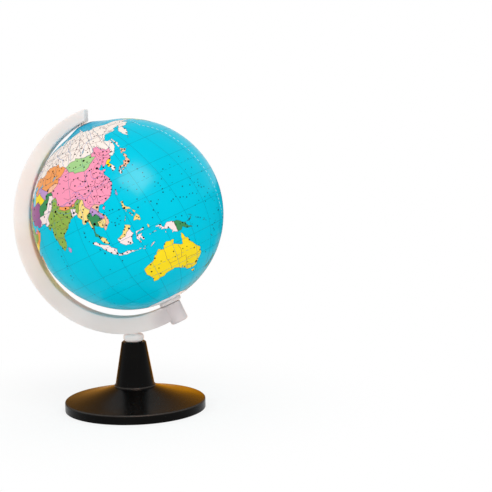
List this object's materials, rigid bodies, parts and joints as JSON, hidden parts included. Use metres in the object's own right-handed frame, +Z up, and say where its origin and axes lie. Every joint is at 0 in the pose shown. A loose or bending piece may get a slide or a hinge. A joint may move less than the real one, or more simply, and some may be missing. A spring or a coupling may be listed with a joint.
{
  "type": "desktop globe on stand",
  "caption": "Small school globe with a political world map, spinning in a white C-shaped arm on a black dome-shaped stand.",
  "frame": {"origin": "on the table, at the centre of the stand's resting face", "axes": "+Z up along the stem; the arm lies in the XZ plane with the north pole towards -X; -Y is the side seen in the picture"},
  "size_m": [0.118, 0.106, 0.1677],
  "materials": {
    "globe_print": "gloss printed",
    "white_plastic": "gloss",
    "inner_plastic": "as moulded",
    "black_plastic": "gloss",
    "steel": "zinc plated"
  },
  "bodies": {
    "stand": {"stand_base": "black_plastic"},
    "arm": {"meridian_arm": "white_plastic", "south_pivot_plug": "white_plastic", "arm_washer": "steel", "arm_screw": "steel"},
    "globe": {"globe_north_hemisphere": "globe_print", "globe_south_hemisphere": "globe_print", "equator_joining_ring": "inner_plastic", "north_pole_bush": "inner_plastic", "south_pole_bush": "white_plastic"}
  },
  "joints": [
    {"name": "arm_swivel", "type": "hinge", "parent": "stand", "child": "arm", "pos_m": [0, 0, 0.038], "axis": [0, 0, 1], "continuous": true},
    {"name": "globe_spin", "type": "hinge", "parent": "arm", "child": "globe", "pos_m": [-0.0012, 0, 0.10939], "axis": [-0.4226, 0, 0.9063], "continuous": true}
  ]
}
